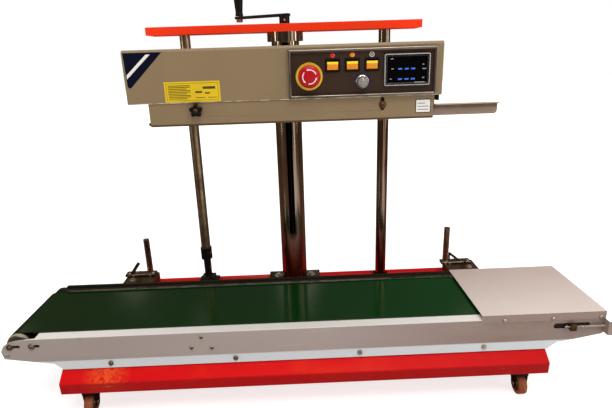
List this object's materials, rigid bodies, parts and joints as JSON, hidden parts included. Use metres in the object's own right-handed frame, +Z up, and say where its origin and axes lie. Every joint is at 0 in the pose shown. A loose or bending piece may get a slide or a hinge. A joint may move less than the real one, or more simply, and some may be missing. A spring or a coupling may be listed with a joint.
{
  "type": "continuous band sealer",
  "caption": "Column-type continuous band sealer: heated sealing head on a crank-raised column lift above a motor-driven belt conveyor on a caster base.",
  "frame": {"origin": "centre of the footprint at floor level, under the four caster wheels", "axes": "+Z up, +X along the conveyor towards the outfeed and the end cover, operator stands at -Y facing the control panel"},
  "size_m": [1.423, 0.5222, 0.993],
  "materials": {
    "red_paint": "glossy red enamel, worn along the lower edges",
    "dark_steel": "oiled dark steel",
    "chrome_steel": "hard chrome, slightly smeared",
    "bolt_steel": "zinc-plated steel",
    "screw_steel": "greased turned steel",
    "black_plastic": "moulded black plastic",
    "black_metal": "black oxide",
    "shaft_steel": "ground shaft with a used film",
    "conveyor_sheet": "pale grey powder coat",
    "cover_sheet": "fine textured off-white powder coat",
    "belt_green": "smooth glossy green belt",
    "roller_steel": "turned steel",
    "fence_paint": "dark satin paint",
    "head_paint": "beige textured powder coat",
    "zinc_sheet": "zinc-plated sheet",
    "bronze": "cast bronze",
    "panel_brown": "printed dark brown panel in a bright frame",
    "yellow_plastic": "yellow plastic",
    "red_plastic": "red plastic",
    "lit_amber": "lit amber rocker",
    "grey_plastic": "grey plastic with a bright cap",
    "controller_black": "black glass in a silver frame",
    "rust_bolt": "browned steel",
    "tray_sheet": "beige painted sheet",
    "motor_grey": "machine grey",
    "block_brass": "machined brass",
    "sealing_band": "coated glass-cloth band",
    "caster_tread": "brown tread"
  },
  "bodies": {
    "frame": {"base_front_beam": "red_paint", "base_rear_beam": "red_paint", "base_cross_channels": "dark_steel", "column_center": "chrome_steel", "column_right": "chrome_steel", "top_bar": "red_paint", "frame_bolts": "bolt_steel", "conveyor_gearbox": "black_metal", "conveyor_front_plate": "conveyor_sheet", "conveyor_rear_plate": "conveyor_sheet", "slider_bed": "zinc_sheet", "conveyor_belt": "belt_green", "roller_bearing": "black_metal", "tension_brackets": "cover_sheet", "end_cover": "cover_sheet", "bag_fence": "fence_paint", "rear_posts": "chrome_steel", "post_braces": "dark_steel", "rear_caster_forks": "black_metal"},
    "crank": {"lead_screw": "screw_steel", "crank_arm": "black_metal"},
    "crank_handle": {"crank_grip": "black_plastic"},
    "conveyor_drive": {"drive_shaft": "shaft_steel", "drive_coupling": "black_metal"},
    "drive_roller_body": {"drive_roller": "roller_steel"},
    "take_up": {"take_up_blocks": "dark_steel"},
    "tension_roller_body": {"tension_roller": "roller_steel"},
    "take_up_screw_front": {"tension_screw_front": "bolt_steel"},
    "take_up_screw_rear": {"tension_screw_rear": "bolt_steel"},
    "caster_left": {"caster_fork_left": "black_metal"},
    "caster_right": {"caster_fork_right": "black_metal"},
    "wheel_front_left": {"caster_wheel_front_left": "caster_tread"},
    "wheel_front_right": {"caster_wheel_front_right": "caster_tread"},
    "wheel_rear_left": {"caster_wheel_rear_left": "caster_tread"},
    "wheel_rear_right": {"caster_wheel_rear_right": "caster_tread"},
    "head": {"head_case": "head_paint", "head_rear_cover": "head_paint", "head_chassis": "black_metal", "skirt_bolt": "rust_bolt", "control_panel": "panel_brown", "e_stop_ring": "yellow_plastic", "switch_bezels": "black_plastic", "temperature_controller": "controller_black", "exit_tray": "tray_sheet", "gearmotor": "motor_grey", "sealing_blocks": "block_brass", "sealing_belt_front": "sealing_band", "sealing_belt_rear": "sealing_band", "lift_nut_and_bushes": "bronze"},
    "skirt": {"front_skirt": "head_paint"},
    "skirt_knob": {"star_knob": "black_plastic"},
    "stop_button": {"e_stop_button": "red_plastic"},
    "switch_left": {"rocker_left": "lit_amber"},
    "switch_middle": {"rocker_middle": "lit_amber"},
    "switch_right": {"rocker_right": "lit_amber"},
    "speed_dial": {"speed_knob": "grey_plastic"},
    "wheel_front_in": {"sealing_wheel_front_in": "roller_steel"},
    "wheel_front_out": {"sealing_wheel_front_out": "roller_steel"},
    "wheel_rear_in": {"sealing_wheel_rear_in": "roller_steel"},
    "wheel_rear_out": {"sealing_wheel_rear_out": "roller_steel"}
  },
  "joints": [
    {"name": "crank_turn", "type": "hinge", "parent": "frame", "child": "crank", "pos_m": [-0.0335, 0.1879, 0.884], "axis": [0, 0, 1], "range_deg": [-1070, 31490]},
    {"name": "head_lift", "type": "slide", "parent": "frame", "child": "head", "axis": [0, 0, 1], "range_m": [-0.35, 0.012]},
    {"name": "crank_grip_spin", "type": "hinge", "parent": "crank", "child": "crank_handle", "pos_m": [-0.16038, 0.24707, 0.904], "axis": [0, 0, 1], "continuous": true},
    {"name": "drive_shaft_spin", "type": "hinge", "parent": "frame", "child": "conveyor_drive", "pos_m": [-0.3065, 0.1879, 0.3], "axis": [0, 0, 1], "continuous": true},
    {"name": "drive_roller_spin", "type": "hinge", "parent": "frame", "child": "drive_roller_body", "pos_m": [-0.6795, -0.1131, 0.1767], "axis": [0, 1, 0], "continuous": true},
    {"name": "take_up_slide", "type": "slide", "parent": "frame", "child": "take_up", "axis": [1, 0, 0], "range_m": [-0.015, 0]},
    {"name": "tension_roller_spin", "type": "hinge", "parent": "take_up", "child": "tension_roller_body", "pos_m": [0.6145, -0.1131, 0.1767], "axis": [0, 1, 0], "continuous": true},
    {"name": "take_up_screw_front_turn", "type": "hinge", "parent": "frame", "child": "take_up_screw_front", "pos_m": [0.6955, -0.2371, 0.1767], "axis": [1, 0, 0], "range_deg": [0, 4321]},
    {"name": "take_up_screw_rear_turn", "type": "hinge", "parent": "frame", "child": "take_up_screw_rear", "pos_m": [0.6955, 0.0053, 0.1767], "axis": [1, 0, 0], "range_deg": [0, 4321]},
    {"name": "caster_swivel_front_left", "type": "hinge", "parent": "frame", "child": "caster_left", "pos_m": [-0.5255, -0.2201, 0.061], "axis": [0, 0, 1], "continuous": true},
    {"name": "caster_roll_front_left", "type": "hinge", "parent": "caster_left", "child": "wheel_front_left", "pos_m": [-0.5255, -0.2351, 0.025], "axis": [1, 0, 0], "continuous": true},
    {"name": "caster_roll_rear_left", "type": "hinge", "parent": "frame", "child": "wheel_rear_left", "pos_m": [-0.5405, 0.2139, 0.025], "axis": [0, 1, 0], "continuous": true},
    {"name": "caster_swivel_front_right", "type": "hinge", "parent": "frame", "child": "caster_right", "pos_m": [0.5045, -0.2201, 0.061], "axis": [0, 0, 1], "continuous": true},
    {"name": "caster_roll_front_right", "type": "hinge", "parent": "caster_right", "child": "wheel_front_right", "pos_m": [0.5045, -0.2351, 0.025], "axis": [1, 0, 0], "continuous": true},
    {"name": "caster_roll_rear_right", "type": "hinge", "parent": "frame", "child": "wheel_rear_right", "pos_m": [0.5195, 0.2139, 0.025], "axis": [0, 1, 0], "continuous": true},
    {"name": "skirt_slide", "type": "slide", "parent": "head", "child": "skirt", "axis": [0, 0, 1], "range_m": [-0.011, 0.008]},
    {"name": "star_knob_turn", "type": "hinge", "parent": "head", "child": "skirt_knob", "pos_m": [-0.2235, -0.1641, 0.695], "axis": [0, -1, 0], "range_deg": [0, 540]},
    {"name": "e_stop_press", "type": "slide", "parent": "head", "child": "stop_button", "axis": [0, 1, 0], "range_m": [0, 0.005], "stiffness_N_per_m": 400},
    {"name": "rocker_left_tilt", "type": "hinge", "parent": "head", "child": "switch_left", "pos_m": [0.0665, -0.1651, 0.779], "axis": [1, 0, 0], "range_deg": [-16, 0]},
    {"name": "rocker_middle_tilt", "type": "hinge", "parent": "head", "child": "switch_middle", "pos_m": [0.1075, -0.1651, 0.779], "axis": [1, 0, 0], "range_deg": [-16, 0]},
    {"name": "rocker_right_tilt", "type": "hinge", "parent": "head", "child": "switch_right", "pos_m": [0.1485, -0.1651, 0.779], "axis": [1, 0, 0], "range_deg": [-16, 0]},
    {"name": "speed_knob_turn", "type": "hinge", "parent": "head", "child": "speed_dial", "pos_m": [0.1285, -0.1691, 0.744], "axis": [0, -1, 0], "range_deg": [-150, 150]},
    {"name": "sealing_wheel_front_in_spin", "type": "hinge", "parent": "head", "child": "wheel_front_in", "pos_m": [-0.2835, -0.1324, 0.69], "axis": [0, 0, 1], "continuous": true},
    {"name": "sealing_wheel_front_out_spin", "type": "hinge", "parent": "head", "child": "wheel_front_out", "pos_m": [0.2165, -0.1324, 0.69], "axis": [0, 0, 1], "continuous": true},
    {"name": "sealing_wheel_rear_in_spin", "type": "hinge", "parent": "head", "child": "wheel_rear_in", "pos_m": [-0.2835, -0.0798, 0.69], "axis": [0, 0, 1], "continuous": true},
    {"name": "sealing_wheel_rear_out_spin", "type": "hinge", "parent": "head", "child": "wheel_rear_out", "pos_m": [0.2165, -0.0798, 0.69], "axis": [0, 0, 1], "continuous": true}
  ],
  "couplings": [
    {"joint": "head_lift", "follows": "crank_turn", "m_per_rad": -0.00063662},
    {"joint": "drive_roller_spin", "follows": "drive_shaft_spin", "ratio": 1},
    {"joint": "tension_roller_spin", "follows": "drive_shaft_spin", "ratio": 1},
    {"joint": "sealing_wheel_front_in_spin", "follows": "drive_shaft_spin", "ratio": -1.0858},
    {"joint": "sealing_wheel_front_out_spin", "follows": "drive_shaft_spin", "ratio": -1.0858},
    {"joint": "sealing_wheel_rear_in_spin", "follows": "drive_shaft_spin", "ratio": 1.0858},
    {"joint": "sealing_wheel_rear_out_spin", "follows": "drive_shaft_spin", "ratio": 1.0858},
    {"joint": "take_up_screw_front_turn", "follows": "take_up_slide", "rad_per_m": -5026.5},
    {"joint": "take_up_screw_rear_turn", "follows": "take_up_slide", "rad_per_m": -5026.5}
  ]
}
